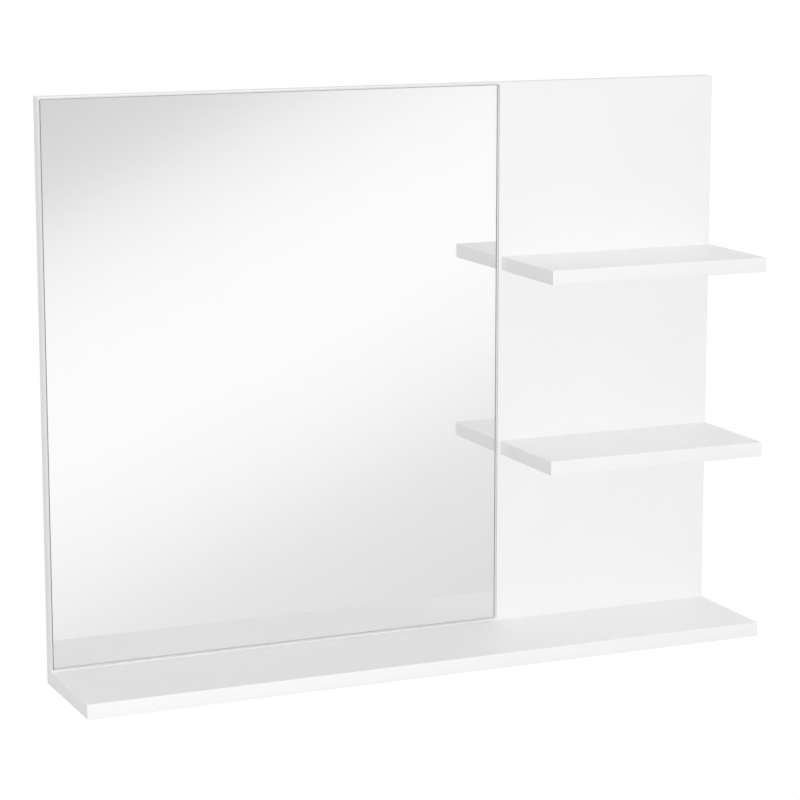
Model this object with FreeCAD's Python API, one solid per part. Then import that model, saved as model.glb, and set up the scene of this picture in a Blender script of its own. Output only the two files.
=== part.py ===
import FreeCAD, Part
import os

# Bathroom wall mirror with an open column of shelves on its right.
# One full-size back board carries a taped-on mirror pane and three shelves: a full-width ledge along
# its foot and two short shelves beside the mirror. All boards are white faced particleboard with banded
# edges. The shelves are dowelled to the back board and screwed from behind, and two keyhole plates let
# into its back hang everything on a pair of wall screws.
# Frame, in millimetres: +X to the viewer's right, +Y into the wall, +Z up. The origin lies on the wall
# plane, midway between the round entries of the two keyholes.

# Boards
panel_width = 600.0
board_thickness = 12.0
bay_count = 3
bay_height = 146.0
shelf_depth = 96.0
short_shelf_length = 200.0
band_thickness = 0.8
band_bevel = 0.5

# Mirror and its adhesive tape
mirror_thickness = 4.0
mirror_arris = 0.5
mirror_side_margin = 0.2
mirror_top_margin = 1.5
mirror_shelf_gap = 5.0
mirror_ledge_gap = 3.0
tape_thickness = 1.0
tape_width = 25.0
tape_inset = 20.0
tape_count = 4

# Dowels and screws that hold the shelves
dowel_diameter = 6.0
dowel_length = 24.0
dowel_depth_in_panel = 8.0
screw_diameter = 4.0
screw_head_diameter = 8.0
screw_length = 40.0
screw_inset = 32.0
lower_shelf_screw_count = 3
short_shelf_screw_count = 2

# Keyhole plates and the pockets they lie in
keyhole_inset = 80.0
keyhole_drop = 60.0
keyhole_entry_diameter = 10.0
keyhole_slot_width = 5.0
keyhole_slot_rise = 12.0
plate_thickness = 2.0
plate_ledge = 2.0
plate_end_margin = 8.0
cavity_depth = 6.0
cavity_side_room = 1.0
plate_screw_diameter = 3.0
plate_screw_head_diameter = 5.6
plate_screw_length = 8.0

# Fits
hole_clearance = 0.1
hole_end_room = 0.5
pocket_clearance = 0.2
overcut = 1.0

# Places that follow from the sizes above
shelf_pitch = bay_height + board_thickness
panel_top = keyhole_drop
panel_bottom = panel_top - bay_count * shelf_pitch
panel_left = -panel_width / 2
panel_right = panel_width / 2
panel_front = -board_thickness
shelf_front = panel_front - shelf_depth
short_shelf_left = panel_right - short_shelf_length

mirror_left = panel_left + mirror_side_margin
mirror_right = short_shelf_left - mirror_shelf_gap
mirror_top = panel_top - mirror_top_margin
mirror_bottom = panel_bottom + board_thickness + mirror_ledge_gap
mirror_back = panel_front - tape_thickness
mirror_front = mirror_back - mirror_thickness

cavity_width = keyhole_entry_diameter + 2 * cavity_side_room
plate_width = cavity_width + 2 * plate_ledge
plate_screw_low = -cavity_width / 2 - plate_end_margin
plate_screw_high = keyhole_slot_rise + cavity_width / 2 + plate_end_margin


def block(limits):
    """A box between low and high limits on X, Y and Z."""
    low = FreeCAD.Vector(*[span[0] for span in limits])
    return Part.makeBox(*[span[1] - span[0] for span in limits], low)


def turned(profile):
    """A solid of revolution about Y, from points of radius and depth away from the wall."""
    points = [FreeCAD.Vector(radius, -depth, 0) for radius, depth in profile]
    outline = Part.makePolygon(points + points[:1])
    return Part.Face(outline).revolve(FreeCAD.Vector(0, 0, 0), FreeCAD.Vector(0, 1, 0), 360)


def obround(width, low, high, y_back, y_front):
    """An upright slot shape with round ends, whose end centres lie at heights low and high."""
    half = width / 2
    left_low = FreeCAD.Vector(-half, y_back, low)
    left_high = FreeCAD.Vector(-half, y_back, high)
    right_low = FreeCAD.Vector(half, y_back, low)
    right_high = FreeCAD.Vector(half, y_back, high)
    top = Part.Arc(left_high, FreeCAD.Vector(0, y_back, high + half), right_high).toShape()
    bottom = Part.Arc(right_low, FreeCAD.Vector(0, y_back, low - half), left_low).toShape()
    left = Part.makeLine(left_low, left_high)
    right = Part.makeLine(right_high, right_low)
    return Part.Face(Part.Wire([left, top, right, bottom])).extrude(FreeCAD.Vector(0, y_front - y_back, 0))


def spread(low, high, count):
    """Evenly spaced places from low to high."""
    step = (high - low) / (count - 1)
    return [low + step * index for index in range(count)]


def copies(shape, places):
    """One copy of the shape at each place."""
    return [shape.translated(FreeCAD.Vector(*place)) for place in places]


def export(name, shape):
    """Write one node; a list of like solids shares a node."""
    if isinstance(shape, list):
        shape = Part.makeCompound(shape)
    shape.exportStep(os.path.join("parts", name + ".step"))


def banded_board(limits, banded, square_back):
    """A board's core, and its edge bands by side.

    Each band covers the ends of those named after it. Outer edges are bevelled within the bands, except
    that a board which butts against another keeps square edges at its back.
    """
    whole = block(limits)
    edges = whole.Edges
    if square_back:
        back = limits[1][1]
        edges = [edge for edge in edges if edge.BoundBox.YMin < back - band_bevel]
    trimmed = whole.makeChamfer(band_bevel, edges)
    axes = {"left": 0, "right": 0, "front": 1, "bottom": 2, "top": 2}
    inner = [list(span) for span in limits]
    bands = {}
    for side in banded:
        strip = [list(span) for span in inner]
        low, high = inner[axes[side]]
        if side in ("right", "top"):
            inner[axes[side]] = [low, high - band_thickness]
            strip[axes[side]] = [high - band_thickness, high]
        else:
            inner[axes[side]] = [low + band_thickness, high]
            strip[axes[side]] = [low, low + band_thickness]
        bands[side] = trimmed.common(block(strip))
    return block(inner), bands


def screw(diameter, head_diameter, length, clearance=0.0, end_room=0.0):
    """A countersunk screw sunk flush with the wall plane, or with room added, the hole for it."""
    radius = diameter / 2 + clearance
    head_radius = head_diameter / 2 + clearance
    head_depth = head_radius - radius
    end = length + end_room
    return turned([(0, 0), (head_radius, 0), (radius, head_depth), (radius, end), (0, end)])


def dowel(clearance=0.0, end_room=0.0):
    """A dowel across the joint at the back board's front face, or with room added, its two blind holes."""
    radius = dowel_diameter / 2 + clearance
    start = -dowel_depth_in_panel - end_room
    end = dowel_length - dowel_depth_in_panel + end_room
    return turned([(0, start), (radius, start), (radius, end), (0, end)])


def keyhole_plate():
    """A hanger plate with a round entry below a narrow slot that the wall screw's neck slides up."""
    plate = obround(plate_width, plate_screw_low, plate_screw_high, 0, -plate_thickness)
    through = plate_thickness + overcut
    entry_radius = keyhole_entry_diameter / 2
    entry = turned([(0, -overcut), (entry_radius, -overcut), (entry_radius, through), (0, through)])
    slot = obround(keyhole_slot_width, 0, keyhole_slot_rise, overcut, -through)
    return plate.cut(entry).cut(slot)


def keyhole_pocket():
    """The stepped pocket: a shallow seat for the plate over a deeper cavity for the wall screw's head."""
    seat_width = plate_width + 2 * pocket_clearance
    seat = obround(seat_width, plate_screw_low, plate_screw_high, overcut, -plate_thickness)
    cavity = obround(cavity_width, 0, keyhole_slot_rise, 0, -plate_thickness - cavity_depth)
    return seat.fuse(cavity)


def mirror_pane():
    """The mirror glass, its front edges ground to a small arris."""
    pane = block([(mirror_left, mirror_right), (mirror_front, mirror_back), (mirror_bottom, mirror_top)])
    middle = (mirror_front + mirror_back) / 2
    front_edges = [edge for edge in pane.Edges if edge.BoundBox.YMax < middle]
    return pane.makeChamfer(mirror_arris, front_edges)


def mirror_tapes():
    """Upright strips of double-sided tape between the back board and the mirror."""
    first = mirror_left + tape_inset
    last = mirror_right - tape_inset - tape_width
    heights = (mirror_bottom + tape_inset, mirror_top - tape_inset)
    strip = block([(0, tape_width), (mirror_back, panel_front), heights])
    return copies(strip, [(x, 0, 0) for x in spread(first, last, tape_count)])


os.makedirs("parts", exist_ok=True)

# The shelves from the foot up, each with its left end and its number of screws
shelves = [
    ("lower_shelf", panel_left, lower_shelf_screw_count),
    ("middle_shelf", short_shelf_left, short_shelf_screw_count),
    ("upper_shelf", short_shelf_left, short_shelf_screw_count),
]
shelf_screw_sizes = (screw_diameter, screw_head_diameter, screw_length)
shelf_screw = screw(*shelf_screw_sizes)
shelf_screw_hole = screw(*shelf_screw_sizes, hole_clearance, hole_end_room)
shelf_dowel_hole = dowel(hole_clearance, hole_end_room)
shelf_screws = []
shelf_dowels = []
panel_cuts = []
for step, (name, left_end, screw_count) in enumerate(shelves):
    underside = panel_bottom + step * shelf_pitch
    middle = underside + board_thickness / 2
    limits = [(left_end, panel_right), (shelf_front, panel_front), (underside, underside + board_thickness)]
    core, bands = banded_board(limits, ("front", "left", "right"), square_back=True)
    screw_columns = spread(left_end + screw_inset, panel_right - screw_inset, screw_count)
    dowel_columns = [(low + high) / 2 for low, high in zip(screw_columns, screw_columns[1:])]
    screw_places = [(x, 0, middle) for x in screw_columns]
    dowel_places = [(x, panel_front, middle) for x in dowel_columns]
    holes = copies(shelf_screw_hole, screw_places) + copies(shelf_dowel_hole, dowel_places)
    shelf_screws += copies(shelf_screw, screw_places)
    shelf_dowels += copies(dowel(), dowel_places)
    panel_cuts += holes
    export(name, core.cut(Part.makeCompound(holes)))
    for side, band in bands.items():
        export(name + "_" + side + "_band", band)

# The keyhole plates, each held by a screw above and below its keyhole
plate_screw_sizes = (plate_screw_diameter, plate_screw_head_diameter, plate_screw_length)
plate_screw = screw(*plate_screw_sizes)
plate_screw_hole = screw(*plate_screw_sizes, hole_clearance, hole_end_room)
plate_screws = []
for name, x in (("left", panel_left + keyhole_inset), ("right", panel_right - keyhole_inset)):
    screw_places = [(x, 0, z) for z in (plate_screw_low, plate_screw_high)]
    screw_holes = copies(plate_screw_hole, screw_places)
    plate, pocket = copies(keyhole_plate(), [(x, 0, 0)]) + copies(keyhole_pocket(), [(x, 0, 0)])
    export(name + "_keyhole_plate", plate.cut(Part.makeCompound(screw_holes)))
    plate_screws += copies(plate_screw, screw_places)
    panel_cuts += [pocket] + screw_holes

panel_limits = [(panel_left, panel_right), (panel_front, 0.0), (panel_bottom, panel_top)]
panel_core, panel_bands = banded_board(panel_limits, ("top", "bottom", "left", "right"), square_back=False)
for cut in panel_cuts:
    panel_core = panel_core.cut(cut)
export("back_panel", panel_core)
for side, band in panel_bands.items():
    export("back_panel_" + side + "_band", band)

export("mirror", mirror_pane())
export("mirror_tapes", mirror_tapes())
export("shelf_screws", shelf_screws)
export("shelf_dowels", shelf_dowels)
export("keyhole_plate_screws", plate_screws)
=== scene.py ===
import math

import bpy
import numpy as np
from bpy.props import FloatProperty, FloatVectorProperty, IntProperty, PointerProperty
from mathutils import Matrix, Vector


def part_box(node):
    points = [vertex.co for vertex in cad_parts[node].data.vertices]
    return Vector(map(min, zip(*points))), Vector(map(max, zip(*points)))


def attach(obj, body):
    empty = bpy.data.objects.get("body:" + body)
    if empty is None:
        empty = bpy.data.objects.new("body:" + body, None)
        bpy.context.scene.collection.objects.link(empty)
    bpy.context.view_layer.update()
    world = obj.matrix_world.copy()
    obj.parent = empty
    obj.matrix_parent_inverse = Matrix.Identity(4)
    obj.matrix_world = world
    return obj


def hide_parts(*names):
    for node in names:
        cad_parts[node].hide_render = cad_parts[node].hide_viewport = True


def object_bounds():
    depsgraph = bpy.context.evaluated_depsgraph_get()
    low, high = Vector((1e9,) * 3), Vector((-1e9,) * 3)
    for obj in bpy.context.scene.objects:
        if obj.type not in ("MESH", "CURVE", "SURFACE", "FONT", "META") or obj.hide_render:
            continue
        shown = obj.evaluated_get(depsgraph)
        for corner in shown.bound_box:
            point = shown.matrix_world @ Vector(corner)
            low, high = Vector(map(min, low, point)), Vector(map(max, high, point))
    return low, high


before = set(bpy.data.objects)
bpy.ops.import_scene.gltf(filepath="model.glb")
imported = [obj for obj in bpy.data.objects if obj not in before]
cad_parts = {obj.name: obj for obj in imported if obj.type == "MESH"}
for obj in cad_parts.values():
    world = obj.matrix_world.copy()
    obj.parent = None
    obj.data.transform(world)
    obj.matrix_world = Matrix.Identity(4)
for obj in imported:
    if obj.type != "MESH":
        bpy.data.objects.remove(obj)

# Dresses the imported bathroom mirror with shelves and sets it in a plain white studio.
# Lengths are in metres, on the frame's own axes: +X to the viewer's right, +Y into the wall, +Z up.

bl_info = {
    "name": "Bathroom mirror with shelves",
    "version": (1, 0, 0),
    "blender": (4, 5, 0),
    "location": "3D View > Sidebar > Mirror",
    "description": "Finishes the boards, edge bands, glass and fittings of a wall mirror with shelves",
    "category": "Object",
}

CAD_BOX = [list(corner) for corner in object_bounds()]
MM = 0.001
BODY = "root"
X, Y, Z = range(3)
FULL_TURN = 2 * math.pi
QUARTER_TURN = math.pi / 2

# Which way each band of a board faces: the axis it looks along and the sign on that axis
FACING = {"left": (X, -1), "right": (X, 1), "front": (Y, -1), "bottom": (Z, -1), "top": (Z, 1)}
SHELVES = ("lower_shelf", "middle_shelf", "upper_shelf")
PANEL_BANDS = ("top", "bottom", "left", "right")
SHELF_BANDS = ("front", "left", "right")
# Bands that run on to a board's corners, over the ends of the others
CORNER_BANDS = ("top", "bottom", "front")
BAND_UV = "Band"

# Steps round a band's edge and a pane's corner, and the degrees of turn above which an edge stays sharp
BAND_STEPS, CORNER_STEPS = 6, 5
BAND_CREASE, GLASS_CREASE, METAL_CREASE = 35.0, 5.0, 30.0

# A screw's head in shares of its radius: rings over its flat, its rim as pairs of radius and depth,
# and the cross recess, whose floor rises by a share of the depth towards the ends of its arms
SCREW_SEGMENTS = 64
HEAD_RINGS = np.linspace(0.02, 0.94, 34)
HEAD_RIM = np.array([[0.98, 0.0], [1.0, 0.02], [0.99, 0.06]])
RECESS_LENGTH, RECESS_WIDTH, RECESS_DEPTH, RECESS_LIP, RECESS_RISE = 1.16, 0.26, 0.4, 0.06, 0.45

# A screw's shank: its share of the head, the thread's rows per turn and steepness, and the point's
# length in shank radii, the share of the shank left at its tip, and the power that rounds it
SHELF_SCREW_SHANK, PLATE_SCREW_SHANK = 4.0 / 8.0, 3.0 / 5.6
ROWS_PER_TURN, RIDGE_STEEPNESS = 6, 1.8
POINT_LENGTH, POINT_TIP, POINT_ROUNDING = 2.6, 0.03, 0.75

# A dowel's segments and rings, and its end bevel as a share of its radius
DOWEL_SEGMENTS, DOWEL_RINGS, DOWEL_BEVEL = 120, 12, 0.3
# How far each screw and each dowel is turned on from the last one, so that no two look alike
NEXT_SCREW_TURN, NEXT_DOWEL_TURN = math.radians(137.5), 1.0

# Points of a CAD mesh that lie closer than this are one point, and places are sorted to so many decimals
SAME_POINT = 0.001 * MM
SORTED_DECIMALS = 4

# The range that most of a noise's values lie in
NOISE_LOW, NOISE_HIGH = 0.3, 0.7

GLASS_IOR = 1.52
# Where the painted highlight on the ground edge starts and is full, in widths of that edge from the pane's
# ends
PAINTED_HIGHLIGHT_START, PAINTED_HIGHLIGHT_FULL = 1.4, 0.9
# Share of the glue line's width that is full strength, and how rough and how deep the bare chips are
GLUE_CORE, CHIP_ROUGHNESS, CHIP_RELIEF = 0.6, 0.85, 12.0
# How the bloom on zinc shifts its red, green and blue
ZINC_WARMTH = (1.08, 1.0, 0.78)

# The photograph's view: how many degrees it looks down and to the right
LOOK_DOWN, LOOK_RIGHT = 10.694, 23.76
SENSOR_WIDTH = 36.0

# Where the lamps hang, the width of the front one, and the spread of the soft daylight of the others
FRONT_LAMP_PLACE, FRONT_LAMP_WIDTH = (-1.2, -3.05, 0.35), 1.6
BACK_LIGHT_PLACE = (0.4, 2.8, -0.7)
RIGHT_FILL_PLACE = (2.9, 0.6, -0.5)
TOP_LIGHT_PLACE = (0.0, -0.8, 2.7)
DAYLIGHT_SPREAD = math.radians(35)

# What mirrors and glass show of the studio: how far a direction leans along one slanting axis, and how
# bright it is there, from a pale ceiling down over a dull wall and one bright band to a dull floor
STUDIO_AXIS = (0.37, 0.31, -0.876)
STUDIO_LEVELS = [
    (-1.0, 1.1), (-0.5, 0.97), (-0.31, 0.57), (-0.21, 0.56), (-0.11, 0.73),
    (-0.02, 1.03), (0.01, 1.0), (0.08, 0.81), (0.36, 0.56), (1.0, 0.56),
]
BRIGHTEST = 2.0
WHITE = (1.0, 1.0, 1.0, 1.0)

# The floor's grid, and the shares of its radius at which the grid and its fading out start
FLOOR_RINGS, FLOOR_SPOKES = 12, 64
FLOOR_HUB, FLOOR_FADE = 0.02, 0.25


# Settings


def colour(name, description, default):
    """A colour setting."""
    return FloatVectorProperty(
        name=name, description=description, default=default, subtype="COLOR", size=3, min=0.0, max=1.0
    )


def length(name, description, default):
    """A length setting, in metres."""
    return FloatProperty(
        name=name, description=description, default=default, min=0.0, precision=5,
        subtype="DISTANCE", unit="LENGTH",
    )


def share(name, description, default):
    """A setting between nothing and all."""
    return FloatProperty(
        name=name, description=description, default=default, min=0.0, max=1.0, subtype="FACTOR"
    )


def strength(name, description, default, unit="NONE"):
    """The strength of a light."""
    return FloatProperty(name=name, description=description, default=default, min=0.0, unit=unit)


class BoardSettings(bpy.types.PropertyGroup):
    """Sizes and colours of the white faced boards and their edge bands."""

    face_colour: colour("Face colour", "Colour of the white facing foil", (0.9, 0.9, 0.898))
    face_roughness: share("Face roughness", "Satin of the facing foil", 0.5)
    pearl_size: length("Pearl size", "Width of one grain of the foil's pearl texture", 1.1 * MM)
    pearl_depth: length("Pearl depth", "Height of the foil's pearl texture", 0.014 * MM)
    foil_thickness: length("Foil thickness", "Thickness of the facing foil on the core", 0.2 * MM)
    chip_size: length("Chip size", "Width of the wood chips in the core", 1.6 * MM)
    chip_dark: colour("Dark chips", "Darkest wood chips in the core", (0.2, 0.115, 0.05))
    chip_light: colour("Light chips", "Palest wood chips in the core", (0.66, 0.48, 0.28))
    glue_width: length("Glue line", "Width of the line where a band meets a board's face", 0.08 * MM)
    glue_colour: colour("Glue colour", "Colour of that line", (0.62, 0.6, 0.55))
    band_colour: colour("Band colour", "Colour of the edge bands", (0.905, 0.905, 0.905))
    band_roughness: share("Band roughness", "Satin of the edge bands", 0.42)
    gloss: share("Gloss", "Strength of the boards' and bands' sheen", 0.28)
    band_radius: length("Band radius", "Rounding of the edge bands", 0.5 * MM)


class MirrorSettings(bpy.types.PropertyGroup):
    """Sizes and colours of the mirror pane."""

    arris: length("Arris", "Width and depth of the ground edge round the front of the glass", 0.5 * MM)
    corner_radius: length("Corner radius", "Rounding of the pane's four corners", 1.0 * MM)
    silver_gap: length("Silver gap", "Distance from the glass to the silvering", 0.01 * MM)
    silver_thickness: length("Silver thickness", "Thickness of the silvering and its paint", 0.08 * MM)
    silver_inset: length("Silver inset", "How far the silvering stays inside the glass", 0.2 * MM)
    glass_tint: colour("Glass tint", "Colour of the clear glass", (0.9935, 0.9938, 0.9932))
    arris_colour: colour("Arris colour", "Colour of the ground edge", (0.08, 0.084, 0.082))
    # Painted highlight: a pale colour laid on the arris along the pane's top and bottom, in place of the
    # light that falls on those edges
    painted_highlight_colour: colour("Bloom colour", "Colour of dust and lime at its top and bottom", (0.6, 0.6, 0.59))
    arris_roughness: share("Arris roughness", "How matt the ground edge is", 0.45)
    side_colour: colour("Side colour", "Colour of the glass's cut sides", (0.93, 0.94, 0.936))
    silver_colour: colour("Silver colour", "Colour of the silvering", (0.966, 0.9658, 0.9648))
    paint_colour: colour("Paint colour", "Colour of the paint behind the silvering", (0.25, 0.27, 0.27))


class FittingSettings(bpy.types.PropertyGroup):
    """Sizes and colours of the screws, dowels, plates and tape."""

    thread_pitch: length("Thread pitch", "Rise of the shelf screws' thread per turn", 2.0 * MM)
    thread_depth: length("Thread depth", "Depth of the shelf screws' thread", 0.65 * MM)
    plate_thread_pitch: length("Plate thread pitch", "Rise of the plate screws' thread per turn", 1.2 * MM)
    plate_thread_depth: length("Plate thread depth", "Depth of the plate screws' thread", 0.45 * MM)
    flute_count: IntProperty(name="Flutes", description="Number of flutes round a dowel", default=20, min=3)
    flute_depth: length("Flute depth", "Depth of a dowel's flutes", 0.25 * MM)
    zinc_colour: colour("Zinc colour", "Colour of the plated screws", (0.73, 0.71, 0.64))
    plate_colour: colour("Plate colour", "Colour of the keyhole plates", (0.66, 0.67, 0.68))
    beech_colour: colour("Beech colour", "Colour of the dowels", (0.62, 0.42, 0.24))
    foam_colour: colour("Foam colour", "Colour of the double-sided tape", (0.82, 0.82, 0.79))


class StageSettings(bpy.types.PropertyGroup):
    """Camera, light and floor."""

    camera_place: FloatVectorProperty(
        name="Camera place", description="Where the camera stands", default=(-0.899, -2.0691, 0.2226),
        size=3, precision=4, subtype="TRANSLATION", unit="LENGTH",
    )
    camera_turn: FloatVectorProperty(
        name="Camera turn", description="How the camera is turned", size=3, subtype="EULER",
        default=(math.radians(90 - LOOK_DOWN), 0.0, math.radians(-LOOK_RIGHT)),
    )
    lens: FloatProperty(
        name="Lens", description="Focal length of the camera", default=123.18, unit="CAMERA"
    )
    front_power: strength("Front lamp", "Power of the lamp in front", 38.0, unit="POWER")
    back_light: strength("Back light", "Strength of the light from behind", 1.1)
    right_fill: strength("Right fill", "Strength of the fill from the right", 0.45)
    top_light: strength("Top light", "Strength of the soft light from above", 0.08)
    top_fill: strength("Top fill", "Strength of the fill between the shelves", 0.32)
    ambient: strength("Ambient", "Strength of the light from all round", 0.675)
    floor_drop: length("Floor drop", "Height of the ledge over the floor", 1.15)
    floor_radius: length("Floor radius", "Radius of the floor", 2.6)
    floor_colour: colour("Floor colour", "Colour of the floor", (0.76, 0.76, 0.76))


# Meshes


def quads_between(rows, count):
    """Faces that join each closed loop of points to the next; the loops are rows of one grid."""
    here = np.arange(rows * count).reshape(rows, count)
    beside = np.roll(here, -1, axis=1)
    return np.stack([here[:-1], beside[:-1], beside[1:], here[1:]], axis=-1).reshape(-1, 4)


def fan(cap):
    """Triangles that fill a flat cap from its first corner, which is also written as their fourth."""
    hub = np.full(len(cap) - 2, cap[0])
    return np.stack([hub, cap[1:-1], cap[2:], hub], axis=-1)


def signed_volume(points, quads):
    """Six times the volume inside a skin, negative where its faces point inwards."""
    a, b, c, d = (points[quads[:, corner]] for corner in range(4))
    return np.einsum("ij,ij->", a, np.cross(b, c)) + np.einsum("ij,ij->", a, np.cross(c, d))


def skin(loops):
    """Closed skin over a stack of like loops, an array of stack by loop by 3; flat caps close both ends.

    The faces are turned to point outwards, by the sign of the volume that they enclose.
    """
    rows, count, _ = loops.shape
    points = loops.reshape(-1, 3)
    quads = quads_between(rows, count)
    first = np.arange(count)
    caps = np.stack([first[::-1], first + (rows - 1) * count])
    closed = np.concatenate([quads, fan(caps[0]), fan(caps[1])])
    if signed_volume(points - points.mean(axis=0), closed) < 0:
        quads, caps = quads[:, ::-1], caps[:, ::-1]
    return points, quads, caps


def make_piece(name, shape, materials, node_name, crease, uv=None, face_materials=None):
    """Puts a skin into a mesh at the origin that rides on the body and stands for a CAD node.

    Edges that turn by more degrees than the crease stay sharp. uv gives one pair for each point, and
    face_materials a place in the list of materials for each face, the quads before the caps.
    """
    points, quads, caps = shape
    mesh = bpy.data.meshes.new(name)
    mesh.from_pydata(points, [], quads.tolist() + caps.tolist())
    for material in materials:
        mesh.materials.append(material)
    mesh.polygons.foreach_set("use_smooth", np.ones(len(mesh.polygons), dtype=bool))
    if face_materials is not None:
        mesh.polygons.foreach_set("material_index", np.asarray(face_materials, dtype=np.int32))
    mesh.set_sharp_from_angle(angle=math.radians(crease))
    if uv is not None:
        corners = np.empty(len(mesh.loops), dtype=np.int32)
        mesh.loops.foreach_get("vertex_index", corners)
        layer = mesh.uv_layers.new(name=BAND_UV)
        layer.uv.foreach_set("vector", np.ascontiguousarray(uv[corners], dtype=np.float32).ravel())
    mesh.validate()
    mesh.update()
    piece = bpy.data.objects.new(name, mesh)
    bpy.context.scene.collection.objects.link(piece)
    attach(piece, BODY)
    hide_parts(node_name)


def at_places(shape, places, turns):
    """Copies of one skin built about the Y axis: each is turned about Y and moved to its place."""
    points, quads, caps = shape
    across, along, up = points.T
    cos, sin = np.cos(turns)[:, None], np.sin(turns)[:, None]
    turned = np.stack(np.broadcast_arrays(cos * across + sin * up, along, cos * up - sin * across), axis=-1)
    moved = (turned + places[:, None, :]).reshape(-1, 3)
    steps = (np.arange(len(places)) * len(points))[:, None, None]
    return moved, (quads + steps).reshape(-1, 4), (caps + steps).reshape(-1, caps.shape[1])


def eased(low, high, radius, steps):
    """Places from low to high that crowd within one radius of each end, spaced as a quarter circle is."""
    arc = radius * (1 - np.cos(np.linspace(0, QUARTER_TURN, steps + 1)))
    return np.concatenate([low + arc, high - arc[::-1]])


def near_ends(places, radius):
    """How far each place lies within one radius of the nearer end of its row."""
    return np.clip(radius - np.minimum(places - places[0], places[-1] - places), 0, radius)


def rounded_band(low, high, axis, sign, radius, round_ends):
    """An edge band that is flat behind and rounded in front, with a loop carried along its length.

    At a point of its outer face, with a and b the distances by which the point lies within one radius of
    a long edge and of a rounded end, the face drops by radius - sqrt(radius^2 - min(radius^2, a^2 + b^2)).
    """
    size = high - low
    run, wide = sorted((other for other in (X, Y, Z) if other != axis), key=lambda other: -size[other])
    along = eased(low[run], high[run], radius, BAND_STEPS)
    across = eased(low[wide], high[wide], radius, BAND_STEPS)
    end_part = near_ends(along, radius) * round_ends
    side_part = near_ends(across, radius)
    within = np.minimum(end_part[:, None] ** 2 + side_part[None, :] ** 2, radius**2)
    height = size[axis] - radius + np.sqrt(radius**2 - within)
    back = low[axis] if sign > 0 else high[axis]
    loops = np.empty((len(along), len(across) + 2, 3))
    loops[:, :, run] = along[:, None]
    loops[:, 1:-1, wide] = across
    loops[:, 0, wide], loops[:, -1, wide] = across[0], across[-1]
    loops[:, 1:-1, axis] = back + sign * height
    loops[:, 0, axis] = loops[:, -1, axis] = back
    return skin(loops), loops[:, :, [run, wide]].reshape(-1, 2)


def rounded_rectangle(low, high, inset, radius):
    """Points round a rectangle drawn in by inset, whose corners are quarter circles about fixed centres."""
    quarter = np.linspace(0, QUARTER_TURN, CORNER_STEPS + 1)
    angle = (quarter[None, :] + np.arange(4)[:, None] * QUARTER_TURN).ravel()
    corner = np.repeat([[1, 1], [-1, 1], [-1, -1], [1, -1]], len(quarter), axis=0)
    reach = max(radius - inset, 0)
    centre = (high - low) / 2 - inset - reach
    return (low + high) / 2 + corner * centre + reach * np.stack([np.cos(angle), np.sin(angle)], axis=-1)


def pane_loops(low, high, profile, radius):
    """Loops round a flat pane, a rounded rectangle for each inset and depth of its edge profile."""
    loops = []
    for inset, depth in profile:
        outline = rounded_rectangle(low[[X, Z]], high[[X, Z]], inset, radius)
        loops.append(np.insert(outline, Y, depth, axis=1))
    return np.stack(loops)


def rings_about_y(radius, depth, angle):
    """Rings of points about the Y axis: a radius and a depth towards -Y by row, and an angle by column."""
    return np.stack(np.broadcast_arrays(radius * np.cos(angle), -depth, radius * np.sin(angle)), axis=-1)


def cross_recess(across, up, head_radius):
    """Depth of a cross-shaped driver recess: two crossed arms that shelve up towards their ends.

    Inside an arm, the depth goes from nothing at its outline to all at one lip's width, by 3 s^2 - 2 s^3.
    """
    half_length, half_width = RECESS_LENGTH * head_radius / 2, RECESS_WIDTH * head_radius / 2
    one = np.maximum(np.abs(across) - half_length, np.abs(up) - half_width)
    other = np.maximum(np.abs(up) - half_length, np.abs(across) - half_width)
    inside = np.clip(-np.minimum(one, other) / (RECESS_LIP * head_radius), 0, 1)
    shelving = 1 - RECESS_RISE * np.hypot(across, up) / half_length
    return RECESS_DEPTH * head_radius * shelving * inside * inside * (3 - 2 * inside)


def screw_shape(head_radius, shank_radius, whole, pitch, thread_depth):
    """A countersunk screw along -Y with its head flush with Y = 0, rings of points from head to point.

    The head's flat has a cross recess; under its cone runs a helical ridge, whose height depends on the
    fraction of a turn left over from depth / pitch - angle / full turn; the last part tapers to a point.
    """
    angle = np.linspace(0, FULL_TURN, SCREW_SEGMENTS, endpoint=False)[None, :]
    rings = HEAD_RINGS[:, None] * head_radius
    sunk = cross_recess(rings * np.cos(angle), rings * np.sin(angle), head_radius)
    flat = rings_about_y(rings, sunk, angle)
    rim = rings_about_y(HEAD_RIM[:, :1] * head_radius, HEAD_RIM[:, 1:] * head_radius, angle)

    neck = head_radius - shank_radius
    depths = np.linspace(neck, whole, int((whole - neck) / pitch * ROWS_PER_TURN))[:, None]
    turn = (depths / pitch - angle / FULL_TURN) % 1.0
    ridge = np.clip(1 - np.abs(2 * turn - 1) * RIDGE_STEEPNESS, 0, 1)
    start = np.clip((depths - neck) / pitch, 0, 1)
    height = thread_depth * (1 - start + ridge * start)
    taper = np.clip((whole - depths) / (POINT_LENGTH * shank_radius), POINT_TIP, 1) ** POINT_ROUNDING
    shaft = rings_about_y((shank_radius - thread_depth + height) * taper, depths, angle)
    return skin(np.concatenate([flat, rim, shaft]))


def dowel_shape(radius, low, high, flutes, flute_depth):
    """A fluted dowel along Y with bevelled ends; a flute is where the wave cos(flutes * angle) is high."""
    angle = np.linspace(0, FULL_TURN, DOWEL_SEGMENTS, endpoint=False)[None, :]
    bevel = DOWEL_BEVEL * radius
    heights = np.concatenate([[low], np.linspace(low + bevel, high - bevel, DOWEL_RINGS), [high]])[:, None]
    plain = radius - near_ends(heights, bevel)
    groove = flute_depth * np.clip(np.cos(flutes * angle), 0, 1)
    return skin(rings_about_y(plain - groove, -heights, angle))


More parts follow.
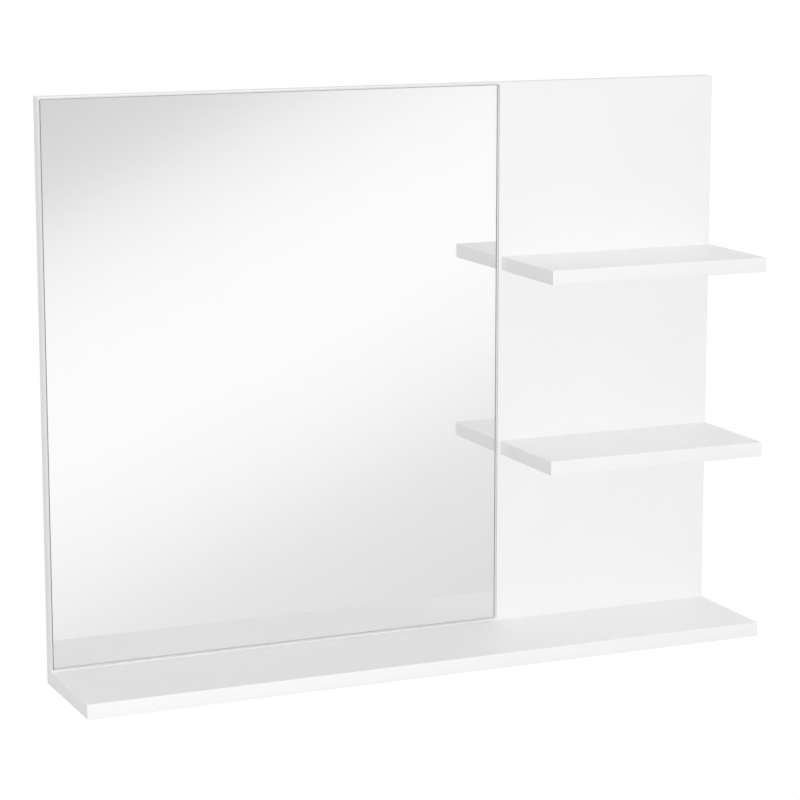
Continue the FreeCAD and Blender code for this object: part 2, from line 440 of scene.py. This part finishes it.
def islands(node_name):
    """Lowest and highest corners of each separate solid in a CAD node, in order of X and then Z.

    Each point starts with a label of its own, and the corners of every face take the lowest label among
    them until nothing changes, when all the points of a solid share one label.
    """
    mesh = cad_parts[node_name].data
    points = np.empty(len(mesh.vertices) * 3)
    mesh.vertices.foreach_get("co", points)
    points = points.reshape(-1, 3)
    corners = np.empty(len(mesh.loops), dtype=np.int64)
    mesh.loops.foreach_get("vertex_index", corners)
    _, same = np.unique(np.round(points / SAME_POINT).astype(np.int64), axis=0, return_inverse=True)
    faces = same.ravel()[corners].reshape(-1, 3)
    label = np.arange(same.max() + 1)
    while True:
        new = label.copy()
        np.minimum.at(new, faces.ravel(), np.repeat(label[faces].min(axis=1), 3))
        new = new[new]
        if np.array_equal(new, label):
            break
        label = new
    owner = label[same.ravel()]
    solids = [points[owner == one] for one in np.unique(owner)]
    boxes = [(solid.min(axis=0), solid.max(axis=0)) for solid in solids]
    boxes.sort(key=lambda box: np.round(box[0][[X, Z]], SORTED_DECIMALS).tolist())
    return np.array(boxes).swapaxes(0, 1)


# Materials


def add(tree, kind, inputs=(), **settings):
    """Adds a shader node; its inputs come from plain values or from other nodes' outputs."""
    made = tree.nodes.new(kind)
    for key, value in settings.items():
        setattr(made, key, value)
    for key, value in dict(inputs).items():
        if isinstance(value, bpy.types.NodeSocket):
            tree.links.new(value, made.inputs[key])
        else:
            made.inputs[key].default_value = value
    return made


def start_material(name, **plain):
    """A new material, its tree, its main shader with plain values set, and Object coordinates."""
    material = bpy.data.materials.new(name)
    material.use_nodes = True
    tree = material.node_tree
    shader = tree.nodes["Principled BSDF"]
    for key, value in plain.items():
        shader.inputs[key.replace("_", " ")].default_value = value
    coordinates = add(tree, "ShaderNodeTexCoord")
    return material, tree, shader, coordinates.outputs["Object"]


def feed(tree, shader, key, output):
    """Leads a node's output into one of the shader's inputs."""
    tree.links.new(output, shader.inputs[key])


def along_axes(tree, vector):
    """The three parts of a vector."""
    return add(tree, "ShaderNodeSeparateXYZ", {"Vector": vector}).outputs


def arithmetic(tree, operation, first, second=0.0):
    """The result of one step of arithmetic."""
    return add(tree, "ShaderNodeMath", {0: first, 1: second}, operation=operation).outputs["Value"]


def noise(tree, vector, grains, detail=2.0):
    """Noise with about so many grains to the metre, alike in all directions or given for each axis."""
    if isinstance(grains, tuple):
        vector = add(tree, "ShaderNodeMapping", {"Vector": vector, "Scale": grains}).outputs["Vector"]
        grains = 1.0
    made = add(tree, "ShaderNodeTexNoise", {"Vector": vector, "Scale": grains, "Detail": detail})
    return made.outputs["Fac"]


def between(tree, factor, low, high, from_low=NOISE_LOW, from_high=NOISE_HIGH):
    """A number that goes from low to high as the factor goes through its range."""
    made = add(
        tree, "ShaderNodeMapRange",
        {"Value": factor, "From Min": from_low, "From Max": from_high, "To Min": low, "To Max": high},
    )
    return made.outputs["Result"]


def around(tree, factor, middle, spread):
    """A number that a noise moves up and down about a middle value."""
    return between(tree, factor, middle - spread, middle + spread)


def scaled(shade, factor):
    """A colour made lighter or darker."""
    return tuple(min(1.0, part * factor) for part in shade)


def ramp(tree, factor, stops):
    """Colours along a factor, from pairs of place and colour."""
    made = add(tree, "ShaderNodeValToRGB", {"Fac": factor})
    elements = made.color_ramp.elements
    while len(elements) < len(stops):
        elements.new(1.0)
    for element, (place, shade) in zip(elements, stops):
        element.position, element.color = place, (*shade, 1.0)
    return made.outputs["Color"]


def varied(tree, factor, shade, darkest, palest, low=NOISE_LOW, high=NOISE_HIGH):
    """A colour that goes from its darkest to its palest share as the factor goes through its range."""
    return ramp(tree, factor, [(low, scaled(shade, darkest)), (high, scaled(shade, palest))])


def blend_colours(tree, factor, first, second):
    """One colour mixed over another."""
    made = add(tree, "ShaderNodeMix", data_type="RGBA")
    for key, value in (("Factor", factor), ("A", first), ("B", second)):
        socket = [one for one in made.inputs if one.name == key and one.enabled][0]
        if isinstance(value, bpy.types.NodeSocket):
            tree.links.new(value, socket)
        else:
            socket.default_value = (*value, 1.0)
    return [one for one in made.outputs if one.enabled][0]


def bump(tree, shader, height, depth):
    """Raises the shader's surface by a height from 0 to 1 times a depth in metres."""
    made = add(tree, "ShaderNodeBump", {"Height": height, "Strength": 1.0, "Distance": depth})
    feed(tree, shader, "Normal", made.outputs["Normal"])


def distance_to_bands(tree, axes, node_name, banded_sides):
    """Distance from a point of a board's core to the nearest of its banded edges."""
    low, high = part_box(node_name)
    nearest = None
    for axis, sign in (FACING[side] for side in banded_sides):
        edge = high[axis] if sign > 0 else low[axis]
        here = arithmetic(tree, "ABSOLUTE", arithmetic(tree, "SUBTRACT", axes[axis], edge))
        nearest = here if nearest is None else arithmetic(tree, "MINIMUM", nearest, here)
    return nearest


def inside_core(tree, height, low, high):
    """1 where a height through a board lies between its two foils, and 0 in them."""
    above = arithmetic(tree, "GREATER_THAN", height, low)
    below = arithmetic(tree, "LESS_THAN", height, high)
    return arithmetic(tree, "MULTIPLY", above, below)


def board_material(name, node_name, face_axis, banded_sides):
    """White pearl foil on a board's two faces, a glue line by its bands, and bare chips in its cuts."""
    chosen = bpy.context.scene.mirror_boards
    material, tree, shader, place = start_material(name, Specular_IOR_Level=chosen.gloss)
    axes = along_axes(tree, place)

    pearl = noise(tree, place, grains=1 / chosen.pearl_size, detail=1.5)
    mottle = noise(tree, place, grains=9.0, detail=3.0)
    white = varied(tree, mottle, chosen.face_colour, darkest=0.992, palest=1.006)
    gap = distance_to_bands(tree, axes, node_name, banded_sides)
    glued, clear = GLUE_CORE * chosen.glue_width, chosen.glue_width
    glue = between(tree, gap, low=1.0, high=0.0, from_low=glued, from_high=clear)
    faced = blend_colours(tree, glue, white, chosen.glue_colour)

    low, high = (corner[face_axis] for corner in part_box(node_name))
    bare = inside_core(tree, axes[face_axis], low + chosen.foil_thickness, high - chosen.foil_thickness)
    chips = add(tree, "ShaderNodeTexVoronoi", {"Vector": place, "Scale": 1 / chosen.chip_size}).outputs
    tone = along_axes(tree, chips["Color"])["X"]
    middle = tuple((one + two) / 2 for one, two in zip(chosen.chip_dark, chosen.chip_light))
    wood = ramp(tree, tone, [(0.0, chosen.chip_dark), (0.35, middle), (1.0, chosen.chip_light)])
    feed(tree, shader, "Base Color", blend_colours(tree, bare, faced, wood))

    satin = around(tree, pearl, chosen.face_roughness, spread=0.05)
    dull = arithmetic(tree, "MULTIPLY", bare, CHIP_ROUGHNESS)
    feed(tree, shader, "Roughness", arithmetic(tree, "MAXIMUM", satin, dull))
    chip_height = arithmetic(tree, "MULTIPLY", chips["Distance"], bare)
    relief = arithmetic(tree, "MULTIPLY", chip_height, CHIP_RELIEF)
    bump(tree, shader, arithmetic(tree, "ADD", pearl, relief), depth=chosen.pearl_depth)
    return material


def band_material():
    """White plastic edge band: satin, with fine drawn lines along its length."""
    chosen = bpy.context.scene.mirror_boards
    material, tree, shader, place = start_material("satin_edge_band", Specular_IOR_Level=chosen.gloss)
    run = add(tree, "ShaderNodeUVMap", uv_map=BAND_UV).outputs["UV"]
    lines = noise(tree, run, grains=(30.0, 2600.0, 1.0))
    mottle = noise(tree, place, grains=14.0)
    feed(tree, shader, "Base Color", varied(tree, mottle, chosen.band_colour, darkest=0.993, palest=1.005))
    feed(tree, shader, "Roughness", around(tree, lines, chosen.band_roughness, spread=0.04))
    bump(tree, shader, lines, depth=0.004 * MM)
    return material


def let_light_through(tree, shader):
    """Soft light that boards throw at the glass passes straight through it to the silvering and back."""
    soft = add(tree, "ShaderNodeLightPath").outputs["Diffuse Depth"]
    thrown = arithmetic(tree, "GREATER_THAN", soft, 0.5)
    clear = add(tree, "ShaderNodeBsdfTransparent")
    out = add(tree, "ShaderNodeMixShader", {0: thrown, 1: shader.outputs[0], 2: clear.outputs[0]})
    feed(tree, tree.nodes["Material Output"], "Surface", out.outputs[0])


def glass_material():
    """Clear float glass with the faintest wipe marks."""
    chosen = bpy.context.scene.mirror_pane
    material, tree, shader, place = start_material(
        "clear_float_glass", Transmission_Weight=1.0, IOR=GLASS_IOR, Roughness=0.0
    )
    marks = noise(tree, place, grains=(5.0, 5.0, 1.75), detail=3.0)
    feed(tree, shader, "Base Color", varied(tree, marks, chosen.glass_tint, darkest=0.996, palest=1.0))
    let_light_through(tree, shader)
    return material


def arris_material():
    """Ground glass edge, dark, frosted and finely marked.

    A pale, patchy painted highlight covers it where it runs along the pane's top and bottom, in place of
    the light that falls on those edges.
    """
    chosen = bpy.context.scene.mirror_pane
    material, tree, shader, place = start_material(
        "ground_glass_arris", Transmission_Weight=1.0, IOR=GLASS_IOR, Roughness=chosen.arris_roughness
    )
    grit = noise(tree, place, grains=3500.0)
    ground = varied(tree, grit, chosen.arris_colour, darkest=0.88, palest=1.1)
    low, high = (corner[Z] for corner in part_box("mirror"))
    middle, end = (low + high) / 2, (high - low) / 2
    height = arithmetic(tree, "SUBTRACT", along_axes(tree, place)["Z"], middle)
    from_middle = arithmetic(tree, "ABSOLUTE", height)
    start, full = end - PAINTED_HIGHLIGHT_START * chosen.arris, end - PAINTED_HIGHLIGHT_FULL * chosen.arris
    at_ends = between(tree, from_middle, low=0.0, high=1.0, from_low=start, from_high=full)
    patchy = between(tree, noise(tree, place, grains=300.0, detail=3.0), low=0.8, high=1.0)
    # Painted highlight: a pale, patchy band laid on the arris near the pane's top and bottom ends, standing
    # in for light falling there
    bloom = arithmetic(tree, "MULTIPLY", at_ends, patchy)
    feed(tree, shader, "Base Color", blend_colours(tree, bloom, ground, chosen.painted_highlight_colour))
    bump(tree, shader, grit, depth=0.02 * MM)
    return material


def side_material():
    """Cut glass side: pale and matt, with fine grinding lines through the thickness."""
    chosen = bpy.context.scene.mirror_pane
    material, tree, shader, place = start_material(
        "ground_glass_side", Roughness=0.6, Specular_IOR_Level=0.3
    )
    lines = noise(tree, place, grains=(2400.0, 300.0, 2400.0))
    feed(tree, shader, "Base Color", varied(tree, lines, chosen.side_colour, darkest=0.95, palest=1.04))
    bump(tree, shader, lines, depth=0.01 * MM)
    return material


def silver_material():
    """Silvering: a bright metal, a shade duller in slow patches."""
    chosen = bpy.context.scene.mirror_pane
    material, tree, shader, place = start_material("mirror_silver", Metallic=1.0, Roughness=0.0)
    patches = noise(tree, place, grains=4.0)
    feed(tree, shader, "Base Color", varied(tree, patches, chosen.silver_colour, darkest=0.995, palest=1.0))
    return material


def paint_material():
    """Grey protective paint behind the silvering, sprayed and slightly grainy."""
    chosen = bpy.context.scene.mirror_pane
    material, tree, shader, place = start_material("mirror_back_paint", Roughness=0.6)
    grain = noise(tree, place, grains=1800.0, detail=3.0)
    feed(tree, shader, "Base Color", varied(tree, grain, chosen.paint_colour, darkest=0.9, palest=1.08))
    bump(tree, shader, grain, depth=0.01 * MM)
    return material


def foam_material():
    """Double-sided foam tape with fine closed cells."""
    chosen = bpy.context.scene.mirror_fittings
    material, tree, shader, place = start_material("foam_tape", Roughness=0.8)
    cells = add(tree, "ShaderNodeTexVoronoi", {"Vector": place, "Scale": 4200.0}).outputs["Distance"]
    foam = varied(tree, cells, chosen.foam_colour, darkest=0.86, palest=1.03, low=0.1, high=0.6)
    feed(tree, shader, "Base Color", foam)
    bump(tree, shader, cells, depth=0.05 * MM)
    return material


def zinc_material():
    """Bright zinc plating with a warm bloom and slightly dull patches."""
    chosen = bpy.context.scene.mirror_fittings
    material, tree, shader, place = start_material("zinc_plated_screw", Metallic=1.0)
    bloom = noise(tree, place, grains=900.0, detail=3.0)
    zinc = chosen.zinc_colour
    warm = tuple(min(1.0, part * shift) for part, shift in zip(zinc, ZINC_WARMTH))
    plating = ramp(tree, bloom, [(0.3, scaled(zinc, 0.9)), (0.5, zinc), (0.75, warm)])
    feed(tree, shader, "Base Color", plating)
    feed(tree, shader, "Roughness", between(tree, bloom, low=0.24, high=0.42))
    bump(tree, shader, bloom, depth=0.01 * MM)
    return material


def plate_material():
    """Pressed steel plate, plated, with fine rolling lines up and down and cloudy dull patches."""
    chosen = bpy.context.scene.mirror_fittings
    material, tree, shader, place = start_material("plated_steel", Metallic=1.0)
    lines = noise(tree, place, grains=(5200.0, 900.0, 120.0), detail=3.0)
    cloud = noise(tree, place, grains=160.0, detail=3.0)
    feed(tree, shader, "Base Color", varied(tree, cloud, chosen.plate_colour, darkest=0.86, palest=1.06))
    feed(tree, shader, "Roughness", between(tree, lines, low=0.26, high=0.46))
    bump(tree, shader, lines, depth=0.008 * MM)
    return material


def beech_material():
    """Beech: pale brown, with grain along the dowel and short darker flecks."""
    chosen = bpy.context.scene.mirror_fittings
    material, tree, shader, place = start_material("beech_dowel", Roughness=0.62)
    grain = noise(tree, place, grains=(1500.0, 60.0, 1500.0), detail=3.0)
    flecks = noise(tree, place, grains=(2600.0, 420.0, 2600.0), detail=1.0)
    wood = varied(tree, grain, chosen.beech_colour, darkest=0.82, palest=1.12)
    flecked = between(tree, flecks, low=0.0, high=0.55, from_low=0.62, from_high=0.7)
    fleck_colour = scaled(chosen.beech_colour, 0.55)
    feed(tree, shader, "Base Color", blend_colours(tree, flecked, wood, fleck_colour))
    bump(tree, shader, grain, depth=0.03 * MM)
    return material


def give(node_name, material):
    """Puts a finish on a CAD node that keeps its shape."""
    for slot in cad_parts[node_name].material_slots:
        slot.material = material


# Operators for the pieces


class BoardsOperator(bpy.types.Operator):
    """Finish the back panel and the three shelves"""

    bl_idname = "mirror_shelves.boards"
    bl_label = "Boards"

    def execute(self, context):
        give("back_panel", board_material("white_board_panel", "back_panel", Y, PANEL_BANDS))
        for shelf in SHELVES:
            give(shelf, board_material("white_board_" + shelf, shelf, Z, SHELF_BANDS))
        return {"FINISHED"}


class BandsOperator(bpy.types.Operator):
    """Make the rounded edge bands of the panel and the shelves"""

    bl_idname = "mirror_shelves.bands"
    bl_label = "Edge bands"

    def execute(self, context):
        material = band_material()
        radius = context.scene.mirror_boards.band_radius
        banded = [("back_panel", side) for side in PANEL_BANDS]
        banded += [(shelf, side) for shelf in SHELVES for side in SHELF_BANDS]
        for board, side in banded:
            node_name = f"{board}_{side}_band"
            low, high = (np.array(corner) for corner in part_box(node_name))
            shape, uv = rounded_band(low, high, *FACING[side], radius, round_ends=side in CORNER_BANDS)
            name = node_name + "_rounded"
            make_piece(name, shape, [material], node_name, BAND_CREASE, uv=uv)
        return {"FINISHED"}


class PaneOperator(bpy.types.Operator):
    """Make the mirror's glass and the silvering behind it"""

    bl_idname = "mirror_shelves.pane"
    bl_label = "Mirror pane"

    def execute(self, context):
        chosen = context.scene.mirror_pane
        low, high = (np.array(corner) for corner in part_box("mirror"))
        front, back = low[Y], high[Y]
        film_front = back - chosen.silver_thickness
        glass_back = film_front - chosen.silver_gap

        # Rings of faces for the cut sides and the arris, and the glass's two flat caps
        edge = [(0.0, glass_back), (0.0, front + chosen.arris), (chosen.arris, front)]
        loops = pane_loops(low, high, edge, chosen.corner_radius)
        ring = loops.shape[1]
        make_piece(
            "mirror_glass_pane", skin(loops), [glass_material(), arris_material(), side_material()],
            "mirror", GLASS_CREASE, face_materials=np.repeat([2, 1, 0], [ring, ring, 2]),
        )

        # A ring of painted faces and a painted cap behind, and the silvered cap in front
        film = [(chosen.silver_inset, back), (chosen.silver_inset, film_front)]
        loops = pane_loops(low, high, film, chosen.corner_radius)
        make_piece(
            "mirror_silvering", skin(loops), [silver_material(), paint_material()],
            "mirror", GLASS_CREASE, face_materials=np.repeat([1, 0], [ring + 1, 1]),
        )
        return {"FINISHED"}


class TapesOperator(bpy.types.Operator):
    """Finish the double-sided tape behind the mirror"""

    bl_idname = "mirror_shelves.tapes"
    bl_label = "Tape"

    def execute(self, context):
        give("mirror_tapes", foam_material())
        return {"FINISHED"}


class ScrewsOperator(bpy.types.Operator):
    """Make the screws that hold the shelves and the keyhole plates"""

    bl_idname = "mirror_shelves.screws"
    bl_label = "Screws"

    def execute(self, context):
        chosen = context.scene.mirror_fittings
        material = zinc_material()
        shelf_thread = (chosen.thread_pitch, chosen.thread_depth)
        plate_thread = (chosen.plate_thread_pitch, chosen.plate_thread_depth)
        for node_name, shank_share, thread in (
            ("shelf_screws", SHELF_SCREW_SHANK, shelf_thread),
            ("keyhole_plate_screws", PLATE_SCREW_SHANK, plate_thread),
        ):
            lows, highs = islands(node_name)
            size = highs[0] - lows[0]
            head_radius = size[X] / 2
            one = screw_shape(head_radius, head_radius * shank_share, size[Y], *thread)
            places = (lows + highs) / 2
            places[:, Y] = highs[:, Y]
            screws = at_places(one, places, np.arange(len(places)) * NEXT_SCREW_TURN)
            make_piece(node_name + "_threaded", screws, [material], node_name, METAL_CREASE)
        return {"FINISHED"}


class DowelsOperator(bpy.types.Operator):
    """Make the fluted dowels between the panel and the shelves"""

    bl_idname = "mirror_shelves.dowels"
    bl_label = "Dowels"

    def execute(self, context):
        chosen = context.scene.mirror_fittings
        lows, highs = islands("shelf_dowels")
        low, high = lows[0], highs[0]
        one = dowel_shape((high[X] - low[X]) / 2, low[Y], high[Y], chosen.flute_count, chosen.flute_depth)
        places = (lows + highs) / 2
        places[:, Y] = 0.0
        dowels = at_places(one, places, np.arange(len(places)) * NEXT_DOWEL_TURN)
        make_piece("shelf_dowels_fluted", dowels, [beech_material()], "shelf_dowels", METAL_CREASE)
        return {"FINISHED"}


class PlatesOperator(bpy.types.Operator):
    """Finish the keyhole plates"""

    bl_idname = "mirror_shelves.plates"
    bl_label = "Keyhole plates"

    def execute(self, context):
        material = plate_material()
        for side in ("left", "right"):
            give(side + "_keyhole_plate", material)
        return {"FINISHED"}


# Stage


def make_camera(chosen):
    """The camera at the photograph's place."""
    camera = bpy.data.cameras.new("Camera")
    camera.sensor_width, camera.lens = SENSOR_WIDTH, chosen.lens
    holder = bpy.data.objects.new("Camera", camera)
    holder.location, holder.rotation_euler = chosen.camera_place, chosen.camera_turn
    bpy.context.scene.collection.objects.link(holder)
    bpy.context.scene.camera = holder


def hang_lamp(lamp, place, shadows):
    """Puts a lamp at a place, turned to the object's middle; mirrors show the studio and not the lamp."""
    middle = (Vector(CAD_BOX[0]) + Vector(CAD_BOX[1])) / 2
    holder = bpy.data.objects.new(lamp.name, lamp)
    holder.location = place
    holder.rotation_euler = (middle - Vector(place)).to_track_quat("-Z", "Y").to_euler()
    holder.visible_camera = holder.visible_glossy = holder.visible_transmission = False
    lamp.use_shadow = shadows
    bpy.context.scene.collection.objects.link(holder)


def soft_lamp(name, power, place, width, shadows):
    """A square lamp as a soft box."""
    lamp = bpy.data.lights.new(name, "AREA")
    lamp.energy, lamp.size = power, width
    hang_lamp(lamp, place, shadows)


def soft_daylight(name, level, place, shadows):
    """Even light from one side, soft as through a wide window."""
    lamp = bpy.data.lights.new(name, "SUN")
    lamp.energy, lamp.angle = level, DAYLIGHT_SPREAD
    hang_lamp(lamp, place, shadows)


def level_along(tree, value, stops):
    """A brightness along a value from -1 to 1, a smooth curve through pairs of place and level."""
    along = between(tree, value, low=0.0, high=1.0, from_low=-1.0, from_high=1.0)
    made = add(tree, "ShaderNodeFloatCurve", {"Value": along})
    curve = made.mapping.curves[0]
    while len(curve.points) < len(stops):
        curve.points.new(0.5, 0.5)
    for point, (place, level) in zip(curve.points, stops):
        point.location = ((place + 1) / 2, level / BRIGHTEST)
    made.mapping.update()
    return arithmetic(tree, "MULTIPLY", made.outputs["Value"], BRIGHTEST)


def make_world(chosen):
    """White to the camera, softly graded to mirrors and glass, and an even ambient light to all else."""
    world = bpy.data.worlds.new("Studio")
    world.use_nodes = True
    tree = world.node_tree
    tree.nodes.clear()
    direction = add(tree, "ShaderNodeTexCoord").outputs["Generated"]
    lean = add(tree, "ShaderNodeVectorMath", {0: direction, 1: STUDIO_AXIS}, operation="DOT_PRODUCT")
    level = level_along(tree, lean.outputs["Value"], STUDIO_LEVELS)
    white = add(tree, "ShaderNodeBackground", {"Color": WHITE, "Strength": 1.0})
    graded = add(tree, "ShaderNodeBackground", {"Color": WHITE, "Strength": level})
    even = add(tree, "ShaderNodeBackground", {"Color": WHITE, "Strength": chosen.ambient})
    ray = add(tree, "ShaderNodeLightPath").outputs
    mirrored = arithmetic(tree, "MAXIMUM", ray["Is Glossy Ray"], ray["Is Transmission Ray"])
    unseen = add(tree, "ShaderNodeMixShader", {0: mirrored, 1: even.outputs[0], 2: graded.outputs[0]})
    seen = add(
        tree, "ShaderNodeMixShader", {0: ray["Is Camera Ray"], 1: unseen.outputs[0], 2: white.outputs[0]}
    )
    add(tree, "ShaderNodeOutputWorld", {"Surface": seen.outputs[0]})
    bpy.context.scene.world = world


def floor_material(chosen):
    """Plain pale floor, faintly mottled, that fades out from its middle towards its rim."""
    material, tree, shader, place = start_material("pale_floor", Roughness=0.9)
    mottle = noise(tree, place, grains=6.0, detail=3.0)
    feed(tree, shader, "Base Color", varied(tree, mottle, chosen.floor_colour, darkest=0.995, palest=1.0))
    axes = along_axes(tree, place)
    squares = [arithmetic(tree, "MULTIPLY", axes[one], axes[one]) for one in (X, Y)]
    radius = arithmetic(tree, "SQRT", arithmetic(tree, "ADD", *squares))
    rim = chosen.floor_radius
    fade = between(tree, radius, low=1.0, high=0.0, from_low=FLOOR_FADE * rim, from_high=rim)
    feed(tree, shader, "Alpha", fade)
    return material


def make_floor(chosen):
    """A round floor below the ledge, a polar grid of rings and spokes with one face at its middle."""
    height = CAD_BOX[0][Z] - chosen.floor_drop
    reach = np.linspace(FLOOR_HUB, 1.0, FLOOR_RINGS)[:, None] * chosen.floor_radius
    angle = np.linspace(0, FULL_TURN, FLOOR_SPOKES, endpoint=False)[None, :]
    points = np.stack(np.broadcast_arrays(reach * np.cos(angle), reach * np.sin(angle), height), axis=-1)
    faces = quads_between(FLOOR_RINGS, FLOOR_SPOKES)[:, ::-1].tolist() + [list(range(FLOOR_SPOKES))]
    mesh = bpy.data.meshes.new("floor")
    mesh.from_pydata(points.reshape(-1, 3), [], faces)
    mesh.materials.append(floor_material(chosen))
    floor = bpy.data.objects.new("floor", mesh)
    floor.visible_glossy = floor.visible_transmission = False
    bpy.context.scene.collection.objects.link(floor)


class StageOperator(bpy.types.Operator):
    """Set up the camera, the soft light and the floor"""

    bl_idname = "mirror_shelves.stage"
    bl_label = "Stage"

    def execute(self, context):
        chosen = context.scene.mirror_stage
        make_camera(chosen)
        soft_lamp("front_lamp", chosen.front_power, FRONT_LAMP_PLACE, FRONT_LAMP_WIDTH, shadows=False)
        soft_daylight("back_light", chosen.back_light, BACK_LIGHT_PLACE, shadows=True)
        soft_daylight("right_fill", chosen.right_fill, RIGHT_FILL_PLACE, shadows=True)
        soft_daylight("top_light", chosen.top_light, TOP_LIGHT_PLACE, shadows=True)
        soft_daylight("top_fill", chosen.top_fill, TOP_LIGHT_PLACE, shadows=False)
        make_world(chosen)
        make_floor(chosen)
        context.scene.view_settings.view_transform = "Standard"
        return {"FINISHED"}


# Panel and registration


class MirrorPanel(bpy.types.Panel):
    """Lists the settings and the steps"""

    bl_idname = "VIEW3D_PT_mirror_shelves"
    bl_label = "Mirror with shelves"
    bl_space_type = "VIEW_3D"
    bl_region_type = "UI"
    bl_category = "Mirror"

    def draw(self, context):
        for group, _ in GROUPS:
            settings = getattr(context.scene, group)
            box = self.layout.box()
            for key in settings.__annotations__:
                box.prop(settings, key)
        for operator in OPERATORS:
            self.layout.operator(operator.bl_idname)


GROUPS = (
    ("mirror_boards", BoardSettings),
    ("mirror_pane", MirrorSettings),
    ("mirror_fittings", FittingSettings),
    ("mirror_stage", StageSettings),
)
OPERATORS = (
    BoardsOperator,
    BandsOperator,
    PaneOperator,
    TapesOperator,
    ScrewsOperator,
    DowelsOperator,
    PlatesOperator,
    StageOperator,
)


def register():
    """Adds the settings, the steps and the panel."""
    for name, group in GROUPS:
        bpy.utils.register_class(group)
        setattr(bpy.types.Scene, name, PointerProperty(type=group))
    for one in (*OPERATORS, MirrorPanel):
        bpy.utils.register_class(one)


def unregister():
    """Takes them away again, in the opposite order."""
    for one in (MirrorPanel, *reversed(OPERATORS)):
        bpy.utils.unregister_class(one)
    for name, group in reversed(GROUPS):
        delattr(bpy.types.Scene, name)
        bpy.utils.unregister_class(group)


def main():
    register()
    for operator in OPERATORS:
        area, name = operator.bl_idname.split(".")
        getattr(getattr(bpy.ops, area), name)()


if __name__ == "__main__":
    main()
